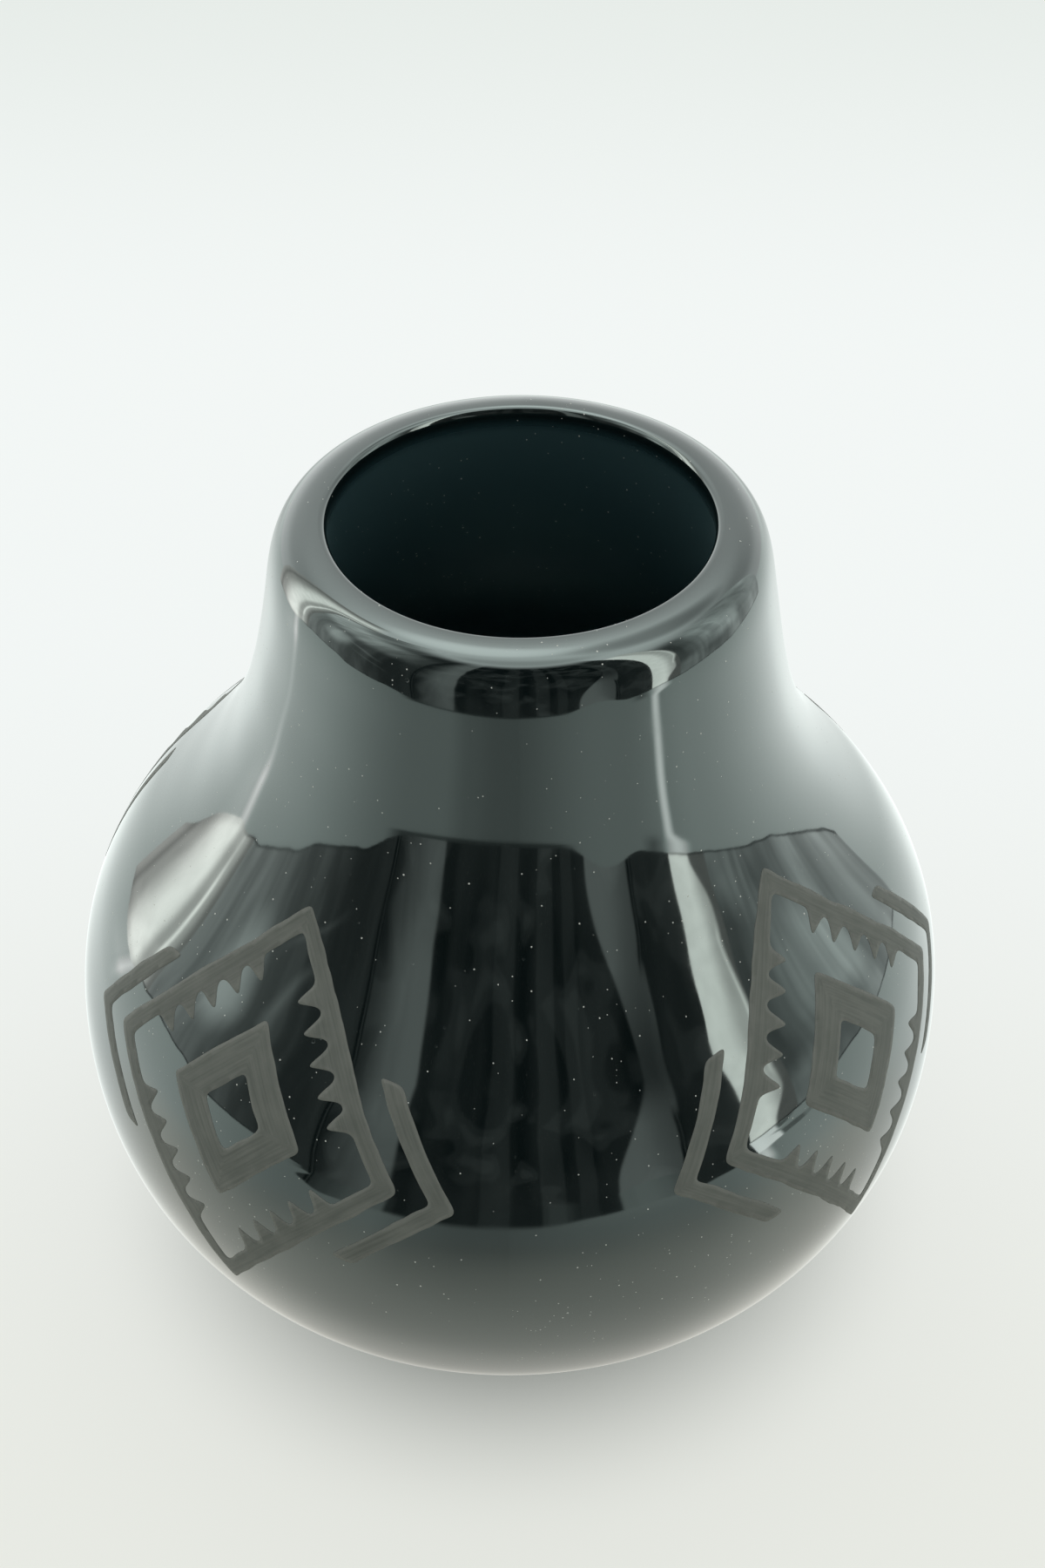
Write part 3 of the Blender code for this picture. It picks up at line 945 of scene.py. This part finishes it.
def beyond_the_paper(place, angle):
    """The brightness of the cards' foot, for low rays that pass over the paper's near edge."""
    outward = Signal(add_node(place.tree, "ShaderNodeVectorMath", {0: place}, operation="NORMALIZE"))
    foot = outward.stretched(TENT_RADIUS, TENT_RADIUS, TENT_RADIUS)
    height = Signal(add_node(place.tree, "ShaderNodeValue"))
    height.socket.default_value = CARD_FOOT
    level = opening_light(foot, angle, height)[1]
    for start, light_of in ((RIGHT_STRIP_START, strip_light), (RIGHT_STRIP_END, right_cloth_light)):
        level = blend(level, light_of(foot, angle, height)[1], angle.above(start))
    return level


def past_the_edge(place, angle, distance):
    """1 where a ray meets the floor at so low a slant that the paper has ended before it."""
    slant = Signal(add_node(place.tree, "ShaderNodeLayerWeight", {"Blend": 0.5}), "Facing")
    limit = place.noise(9.0).step(*EDGE_WAVE)
    limit = limit + distance.steps(EDGE_BY_DISTANCE) + angle.steps(EDGE_BY_ANGLE)
    softness = blend(EDGE_SOFTNESS, EDGE_FRONT_SOFTNESS, angle.band(*EDGE_FRONT))
    return ((slant - limit) / softness).step(-1.0, 1.0)


def open_floor(angle, turned, distance):
    """The floor's painted reflection away from the jar: dim towards the tent's opening, bright at the
    sides.
    """
    level = blend(angle.steps(FLOOR_LEFT), angle.steps(FLOOR_RIGHT), angle.above(0.0))
    back = turned.step(*FLOOR_BACK_LOSS) * distance.step(*FLOOR_BACK_FADE)
    shade = angle.band(*FLOOR_SHADE) * distance.step(*FLOOR_SHADE_FADE)
    return level * turned.step(*FLOOR_SIDE_GAIN) * (1.0 + back) * (1.0 + shade)


def lamp_streaks(angle, distance):
    """Streaks of painted light on the floor below the two long lamps. The right one opens out near the
    cards.
    """
    middle, width = distance.step(*RIGHT_STREAK_MIDDLE), distance.step(*RIGHT_STREAK_WIDTH)
    right = (abs(angle - middle) / width).step(*RIGHT_STREAK_LIGHT)
    left = angle.band(*LEFT_STREAK) + angle.band(*LEFT_STREAK_GLOW) * LEFT_GLOW_SHARE
    return (right + left * distance.step(*LEFT_STREAK_LIGHT)) * distance.step(*STREAK_START)


def floor_in_gloss(place, angle, distance):
    """The floor's brightness as the jar mirrors it: the painted reflection that the floor glows with
    to glossy rays.
    """
    turned = abs(angle)
    level = open_floor(angle, turned, distance)

    # Close to the foot the jar's own shade is painted in
    foot = turned.step(*FOOT_SHADE) * distance.step(*FOOT_SHADE_CORE)
    level = blend(foot, level, distance.step(*FOOT_SHADE_REACH))
    # A dark band of painted shade in the floor's reflection
    mirrored_dark_band = angle.band(*MIRRORED_DARK_BAND) * distance.step(*MIRRORED_DARK_BAND_FADE)
    level = level + lamp_streaks(angle, distance) - mirrored_dark_band

    # In front the paper folds up just before the cards, and the fold's painted shade darkens it there
    front = turned.step(*FOLD_REACH) * angle.step(*FOLD_RIGHT_END)
    level = level * (1.0 + distance.step(*FOLD_SHADE) * front)
    return blend(level, beyond_the_paper(place, angle), past_the_edge(place, angle, distance))


def floor_material():
    """Pale paper. It is part light of its own to the camera, so that the shadow stays soft."""
    material, tree, shader = new_material("pale_paper")
    place = object_place(tree)
    x, y = place.split()[:2]
    distance = maths("SQRT", x * x + y * y)
    # The paper's tone is painted light and shade: paler in the middle than near and far
    tone = mix_colours(y.step(*PAPER_MIDDLE_START), PAPER_NEAR_PAINTED_SHADE, PAPER_MIDDLE_PAINTED_LIGHT)
    tone = mix_colours(y.step(*PAPER_FAR_START), tone, PAPER_FAR_PAINTED_SHADE)
    tone.into(shader, "Base Color")
    shader.inputs["Roughness"].default_value = PAPER_ROUGHNESS
    shader.inputs["Specular IOR Level"].default_value = 0.0

    rays = add_node(tree, "ShaderNodeLightPath")
    own = add_node(tree, "ShaderNodeEmission", {"Color": tone, "Strength": 1.0})
    soft = Signal(rays, "Is Camera Ray") * distance.step(*PAPER_OWN_LIGHT)
    plain = mix_shaders(soft, shader, own)

    # To glossy rays the paper glows with a painted reflection instead, warmer in front and pale under
    # the lamps
    angle = angle_from_front(x, y)
    front = distance.step(*WARM_DISTANCE) * y.step(*WARM_DEPTH)
    level = floor_in_gloss(place, angle, distance)
    tint = mix_colours(front, MIRRORED_PAPER, MIRRORED_FRONT)
    tint = mix_colours(level.step(*PALE_LEVEL), tint, MIRRORED_STREAK)
    mirrored = add_node(tree, "ShaderNodeEmission", {"Color": tint, "Strength": level})
    show(mix_shaders(Signal(rays, "Is Glossy Ray"), plain, mirrored))
    return material


def make_floor():
    reach = FLOOR_REACH
    corners = [(-reach, -reach, 0.0), (reach, -reach, 0.0), (reach, reach, 0.0), (-reach, reach, 0.0)]
    floor = new_object("floor", new_mesh("floor", corners, [(0, 1, 2, 3)], floor_material()))


def hem_height(place, angle, sides):
    """Where a card ends at the bottom: in slow waves at the sides, and straight in front."""
    wave = place.stretched(6.0, 6.0, 0.0).noise(1.0, 3.0, 0.45).step(*HEM_WAVE)
    return wave * sides + angle.steps(HEM_BY_ANGLE) + angle.band(*HEM_LIFT_PLACE) * HEM_LIFT


def card_material(name, light_of):
    """A glowing card. Its light function gives a colour, a strength and how see-through it is."""
    material, tree, shader = new_material(name)
    tree.nodes.remove(shader)
    place = object_place(tree)
    x, y, height = place.split()
    angle = angle_from_front(x, y)
    colour, strength, clear = light_of(place, angle, height)

    # Nothing shows below the hem, and a dark line lies along it at the sides
    sides = abs(angle).step(*HEM_SIDES)
    above = height - hem_height(place, angle, sides)
    line = above.step(*HEM_LINE) * sides * angle.step(*HEM_LINE_END)
    clear = maths("MAXIMUM", clear, above.below(0.0))
    glow = add_node(tree, "ShaderNodeEmission", {"Color": colour, "Strength": strength * (1.0 - line)})
    show(mix_shaders(clear, glow, add_node(tree, "ShaderNodeBsdfTransparent")))
    return material


def dark_middle(place, bent, angle, height):
    """The dark middle of the opening, with faint folds and three slightly paler strips."""
    folds = place.stretched(14.0, 14.0, 2.0).noise(1.0, 2.0, 0.5, 0.3)
    patches = place.stretched(9.0, 9.0, 6.0).noise(1.0, 1.0, 0.5, 0.8)
    level = height.step(*ROOM_FOOT) + folds.step(*ROOM_FOLDS) + patches.steps(ROOM_PATCHES)
    level = level + angle.band(*ROOM_CORNER) * ROOM_CORNER_LIGHT
    for middle, half_width, lift in PLAIN_STRIPS:
        level = level + bent.band(middle, half_width, STRIP_SOFTNESS) * lift
    return level


def left_panel(bent, angle, height):
    """A pale panel, dark at its far side and bright up to a straight edge."""
    return angle.step(*LEFT_PANEL) * height.step(*LEFT_PANEL_BY_HEIGHT) * bent.step(*LEFT_PANEL_EDGE)


def right_panel(angle, height):
    """A pale panel that leans to the right as it goes up."""
    begun = (angle - height.step(*RIGHT_PANEL_START)).step(*RIGHT_PANEL_START_EDGE)
    ended = (angle - height.step(*RIGHT_PANEL_END)).step(*RIGHT_PANEL_END_EDGE)
    return angle.step(*RIGHT_PANEL) * height.step(*RIGHT_PANEL_BY_HEIGHT) * begun * (1.0 - ended)


def left_cloth(place, bent, ripple, angle, height):
    """Cloth left of the opening, pale at its far side, with a bright cloud and two creases."""
    upper = height.step(*UPPER_START) * height.step(*UPPER_END) * angle.step(*LEFT_CLOTH_UPPER)
    folds = place.stretched(26.0, 26.0, 3.0).noise(1.0, 2.0, 0.55, 0.6)
    level = (angle.steps(LEFT_CLOTH) + upper) * folds.step(*LEFT_CLOTH_FOLDS)

    across = (bent - CLOUD_ANGLE) / CLOUD_HALF_WIDTH
    up = (height - CLOUD_HEIGHT) / CLOUD_HALF_HEIGHT
    level = level + maths("SQRT", across * across + up * up).step(*CLOUD_LIGHT)

    curl = height + ripple * CREASE_WAVE + angle * CREASE_SLOPE
    for crease, reach, light in CREASES:
        level = level + curl.band(*crease) * angle.band(*reach) * light
    return level


def opening_light(place, angle, height):
    """The dim room seen through the tent's front: pale panels, dark cloths and two poles."""
    ripple = place.stretched(5.0, 5.0, 6.0).noise(1.0, 1.0)
    bent = (ripple - 0.5) * RIPPLE + angle
    level = dark_middle(place, bent, angle, height)
    level = level + left_panel(bent, angle, height) + right_panel(angle, height)
    cloth = left_cloth(place, bent, ripple, angle, height)
    level = blend(level, cloth, angle.step(*LEFT_CLOTH_START))

    # Each pole is a dark line with a paler one down its middle
    for pole, top in POLES:
        line = bent.band(pole, POLE_HALF_WIDTH, POLE_SOFTNESS)
        line = line * height.step(top + POLE_TOP_SOFTNESS, top - POLE_TOP_SOFTNESS)
        glint = bent.band(pole + GLINT_SHIFT, GLINT_HALF_WIDTH, GLINT_SOFTNESS) * line
        level = level * (1.0 - line) + glint * GLINT_LIGHT
    return ROOM_TINT, level, height.step(*ROOM_TOP)


def right_cloth_light(place, angle, height):
    """Hanging cloth beside the right lamp: dark next to it, bright further round."""
    folds = place.stretched(20.0, 20.0, 2.5).noise(1.0, 2.0, 0.55, 0.5)
    high, low = angle.steps(RIGHT_CLOTH_HIGH), angle.step(*RIGHT_CLOTH_LOW)
    level = blend(low, high, height.step(*RIGHT_CLOTH_CHANGE)) * folds.step(*RIGHT_CLOTH_FOLDS)
    level = level * place.noise(9.0).step(*RIGHT_CLOTH_CLOUDS)
    return CLOTH_TINT, level, height.step(*RIGHT_CLOTH_TOP)


def right_lamp(angle, height):
    """Flat and bright, shaded off to the right, with a thin bright line where it ends."""
    off = angle - height.steps(RIGHT_LAMP_END)
    line = off.band(*RIGHT_LINE) * height.step(*RIGHT_LINE_LIGHT)
    return (angle.step(*RIGHT_LAMP) + line) * off.step(*RIGHT_LAMP_EDGE) + RIGHT_LAMP_BASE


def left_lamp(leaned, height):
    """Dim at its far side, then flat and bright, then a gap and a thin bright line."""
    level = leaned.steps(LEFT_LAMP) + leaned.band(*LEFT_DIM) * LEFT_DIM_LIGHT + LEFT_LAMP_BASE
    level = level + leaned.band(*LEFT_LINE) * height.step(*LEFT_LINE_LIGHT)
    return level * height.step(*LEFT_LAMP_FOOT)


def strip_light(place, angle, height):
    """The long lamp on each side of the opening. The left one leans outwards higher up."""
    leaned = angle + height.step(*LEFT_LAMP_LEAN)
    level = blend(left_lamp(leaned, height), right_lamp(angle, height), angle.above(0.0))
    level = level * place.noise(30.0).step(*LAMP_PATCHES)

    # The left lamp's card is clear on both sides of the lamp
    outside = (leaned.above(LEFT_STRIP_END) + leaned.below(LEFT_LAMP_START)) * angle.below(0.0)
    return STRIP_TINT, level, maths("MAXIMUM", outside, height.step(*LAMP_TOP))


def make_tent():
    opening = card_material("tent_opening", opening_light)
    cloth = card_material("tent_cloth", right_cloth_light)
    strip = card_material("tent_strip", strip_light)
    cards = (
        ("tent_strip_left", LEFT_STRIP_START, LEFT_STRIP_END, TENT_RADIUS, strip),
        ("tent_opening", OPENING_START, RIGHT_STRIP_START, OPENING_RADIUS, opening),
        ("tent_strip_right", RIGHT_STRIP_START, RIGHT_STRIP_END, TENT_RADIUS, strip),
        ("tent_cloth_right", RIGHT_STRIP_END, RIGHT_CLOTH_END, TENT_RADIUS, cloth),
    )
    for card in cards:
        curved_card(*card)


def towards(way, turned, up):
    """The cosine of the angle between a ray's way and the way to a place of the sky, in degrees."""
    turned, up = math.radians(turned), math.radians(up)
    target = (math.sin(turned) * math.cos(up), -math.cos(turned) * math.cos(up), math.sin(up))
    return way.with_vector("DOT_PRODUCT", target, "Value")


def tent_walls(tree):
    """How bright the tent's walls and ceiling are in the direction of a mirrored ray."""
    way = Signal(add_node(tree, "ShaderNodeTexCoord"), "Generated")
    x, y, z = way.split()
    up = maths("DEGREES", maths("ARCSINE", z))
    turned, low = angle_from_front(x, y), up.step(*LOW_WALL_RISE)
    level = up.steps(WALL_LIGHT) + up.step(*CEILING_RISE) * y.step(*CEILING_SHADE)
    level = level + towards(way, *DIM_PLACE).step(*DIM_LIGHT)
    level = level + towards(way, *BRIGHT_PLACE).step(*BRIGHT_LIGHT)
    for row, light in LOW_WALL_BANDS:
        level = level + turned.band(*row) * low * light
    return level


def make_world():
    """Plain light for surfaces, the tent's walls for gloss alone, and plain paper for the camera."""
    world = bpy.data.worlds.new("tent")
    bpy.context.scene.world = world
    world.use_nodes = True
    tree = world.node_tree
    plain = tree.nodes["Background"]
    plain.inputs["Color"].default_value = SURFACE_TINT
    plain.inputs["Strength"].default_value = SURFACE_LIGHT
    walls = add_node(tree, "ShaderNodeBackground", {"Color": WALL_TINT, "Strength": tent_walls(tree)})
    paper = add_node(tree, "ShaderNodeBackground", {"Color": BACKDROP, "Strength": 1.0})
    rays = add_node(tree, "ShaderNodeLightPath")
    lit = mix_shaders(Signal(rays, "Is Glossy Ray"), plain, walls)
    show(mix_shaders(Signal(rays, "Is Camera Ray"), lit, paper), "World Output")


def make_lamp():
    """One soft lamp overhead, which the gloss doesn't show."""
    data = bpy.data.lights.new("overhead", "AREA")
    data.shape = "SQUARE"
    data.size = LAMP_SIZE
    data.energy = LAMP_POWER
    data.color = LAMP_TINT
    lamp = new_object("overhead", data)
    lamp.location = LAMP_PLACE
    lamp.rotation_euler = (Vector(LAMP_AIM) - Vector(LAMP_PLACE)).to_track_quat("-Z", "Y").to_euler()
    lamp.visible_glossy = False


def make_camera():
    data = bpy.data.cameras.new("camera")
    data.sensor_width = SENSOR
    data.lens = LENS
    camera = new_object("camera", data)
    camera.location = CAMERA_PLACE
    camera.rotation_euler = (math.radians(90.0 - CAMERA_DOWN), 0.0, 0.0)
    bpy.context.scene.camera = camera


make_jar()
make_floor()
make_tent()
make_world()
make_lamp()
make_camera()
bpy.context.scene.view_settings.view_transform = "Standard"
